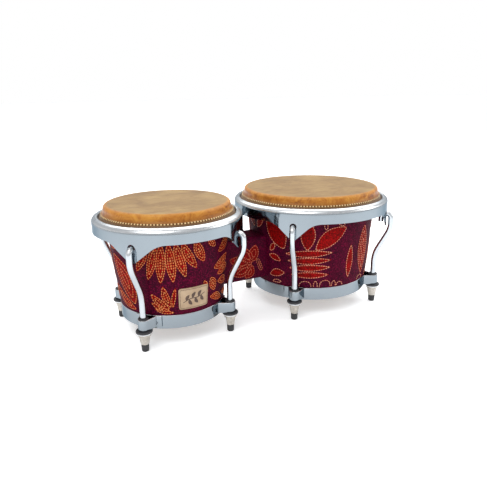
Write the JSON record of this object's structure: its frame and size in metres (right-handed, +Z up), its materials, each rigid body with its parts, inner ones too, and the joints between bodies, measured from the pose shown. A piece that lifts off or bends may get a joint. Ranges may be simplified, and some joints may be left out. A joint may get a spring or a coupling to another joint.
{
  "type": "bongo drums",
  "caption": "Pair of bongo drums with rawhide heads, chrome rims on hooked tuning rods, fabric-covered tapered shells, a centre block and rubber-footed tuning nuts.",
  "frame": {"origin": "on the floor, under the middle of the pair's overall box", "axes": "+X from the small drum to the large drum, +Y away from the badge side, +Z up through the heads"},
  "size_m": [0.4658, 0.2432, 0.187],
  "materials": {
    "shell_wood": "satin lacquered staves",
    "block_wood": "sanded hardwood",
    "cover_fabric": "stitched cloth under clear lacquer",
    "rawhide": "dry rawhide, slightly shiny on its side",
    "hoop_steel": "drawn bar",
    "hardware_chrome": "polished chrome plate",
    "rod_chrome": "polished chrome plate",
    "bushing_rubber": "matte black",
    "foot_rubber": "matte black",
    "washer_steel": "zinc plated",
    "nut_nickel": "satin nickel",
    "fastener_steel": "zinc plated",
    "saddle_aluminium": "as cast",
    "badge_leather": "pale leather, stitched edge"
  },
  "bodies": {
    "root": {"block_bolt_nuts": "fastener_steel", "block_bolt_washers": "fastener_steel", "block_bolts": "fastener_steel", "center_block": "block_wood", "center_block_cover": "cover_fabric", "hembra_bottom_ring": "hardware_chrome", "hembra_fabric_cover": "cover_fabric", "hembra_head": "rawhide", "hembra_lug_brackets": "hardware_chrome", "hembra_nut_washers": "washer_steel", "hembra_rod_bushings": "bushing_rubber", "hembra_saddle_plate": "saddle_aluminium", "hembra_shell": "shell_wood", "macho_badge": "badge_leather", "macho_bottom_ring": "hardware_chrome", "macho_fabric_cover": "cover_fabric", "macho_head": "rawhide", "macho_lug_brackets": "hardware_chrome", "macho_nut_washers": "washer_steel", "macho_rod_bushings": "bushing_rubber", "macho_saddle_plate": "saddle_aluminium", "macho_shell": "shell_wood"},
    "macho_hoop_and_rods": {"macho_rim": "hardware_chrome", "macho_flesh_hoop": "hoop_steel", "macho_tuning_rod_1": "rod_chrome", "macho_tuning_rod_2": "rod_chrome", "macho_tuning_rod_3": "rod_chrome", "macho_tuning_rod_4": "rod_chrome"},
    "macho_nut_1": {"macho_tuning_nut_1": "nut_nickel", "macho_nut_foot_1": "foot_rubber"},
    "macho_nut_2": {"macho_tuning_nut_2": "nut_nickel", "macho_nut_foot_2": "foot_rubber"},
    "macho_nut_3": {"macho_tuning_nut_3": "nut_nickel", "macho_nut_foot_3": "foot_rubber"},
    "macho_nut_4": {"macho_tuning_nut_4": "nut_nickel", "macho_nut_foot_4": "foot_rubber"},
    "hembra_hoop_and_rods": {"hembra_rim": "hardware_chrome", "hembra_flesh_hoop": "hoop_steel", "hembra_tuning_rod_1": "rod_chrome", "hembra_tuning_rod_2": "rod_chrome", "hembra_tuning_rod_3": "rod_chrome", "hembra_tuning_rod_4": "rod_chrome"},
    "hembra_nut_1": {"hembra_tuning_nut_1": "nut_nickel", "hembra_nut_foot_1": "foot_rubber"},
    "hembra_nut_2": {"hembra_tuning_nut_2": "nut_nickel", "hembra_nut_foot_2": "foot_rubber"},
    "hembra_nut_3": {"hembra_tuning_nut_3": "nut_nickel", "hembra_nut_foot_3": "foot_rubber"},
    "hembra_nut_4": {"hembra_tuning_nut_4": "nut_nickel", "hembra_nut_foot_4": "foot_rubber"}
  },
  "joints": [
    {"name": "macho_nut_1_turn", "type": "hinge", "parent": "root", "child": "macho_nut_1", "pos_m": [-0.19084, -0.06315, 0.02], "axis": [0, 0, 1], "range_deg": [-770, 770]},
    {"name": "macho_nut_2_turn", "type": "hinge", "parent": "root", "child": "macho_nut_2", "pos_m": [-0.06456, -0.06315, 0.02], "axis": [0, 0, 1], "range_deg": [-770, 770]},
    {"name": "macho_nut_3_turn", "type": "hinge", "parent": "root", "child": "macho_nut_3", "pos_m": [-0.06456, 0.06315, 0.02], "axis": [0, 0, 1], "range_deg": [-770, 770]},
    {"name": "macho_nut_4_turn", "type": "hinge", "parent": "root", "child": "macho_nut_4", "pos_m": [-0.19084, 0.06315, 0.02], "axis": [0, 0, 1], "range_deg": [-770, 770]},
    {"name": "macho_tuning_slide", "type": "slide", "parent": "root", "child": "macho_hoop_and_rods", "axis": [0, 0, -1], "range_m": [-0.003, 0.003], "deforming": ["macho_head"]},
    {"name": "hembra_nut_1_turn", "type": "hinge", "parent": "root", "child": "hembra_nut_1", "pos_m": [0.03677, -0.07453, 0.02], "axis": [0, 0, 1], "range_deg": [-770, 770]},
    {"name": "hembra_nut_2_turn", "type": "hinge", "parent": "root", "child": "hembra_nut_2", "pos_m": [0.18583, -0.07453, 0.02], "axis": [0, 0, 1], "range_deg": [-770, 770]},
    {"name": "hembra_nut_3_turn", "type": "hinge", "parent": "root", "child": "hembra_nut_3", "pos_m": [0.18583, 0.07453, 0.02], "axis": [0, 0, 1], "range_deg": [-770, 770]},
    {"name": "hembra_nut_4_turn", "type": "hinge", "parent": "root", "child": "hembra_nut_4", "pos_m": [0.03677, 0.07453, 0.02], "axis": [0, 0, 1], "range_deg": [-770, 770]},
    {"name": "hembra_tuning_slide", "type": "slide", "parent": "root", "child": "hembra_hoop_and_rods", "axis": [0, 0, -1], "range_m": [-0.003, 0.003], "deforming": ["hembra_head"]}
  ],
  "couplings": [
    {"joint": "macho_nut_1_turn", "follows": "macho_tuning_slide", "rad_per_m": 4452.7},
    {"joint": "macho_nut_2_turn", "follows": "macho_tuning_slide", "rad_per_m": 4452.7},
    {"joint": "macho_nut_3_turn", "follows": "macho_tuning_slide", "rad_per_m": 4452.7},
    {"joint": "macho_nut_4_turn", "follows": "macho_tuning_slide", "rad_per_m": 4452.7},
    {"joint": "hembra_nut_1_turn", "follows": "hembra_tuning_slide", "rad_per_m": 4452.7},
    {"joint": "hembra_nut_2_turn", "follows": "hembra_tuning_slide", "rad_per_m": 4452.7},
    {"joint": "hembra_nut_3_turn", "follows": "hembra_tuning_slide", "rad_per_m": 4452.7},
    {"joint": "hembra_nut_4_turn", "follows": "hembra_tuning_slide", "rad_per_m": 4452.7}
  ]
}
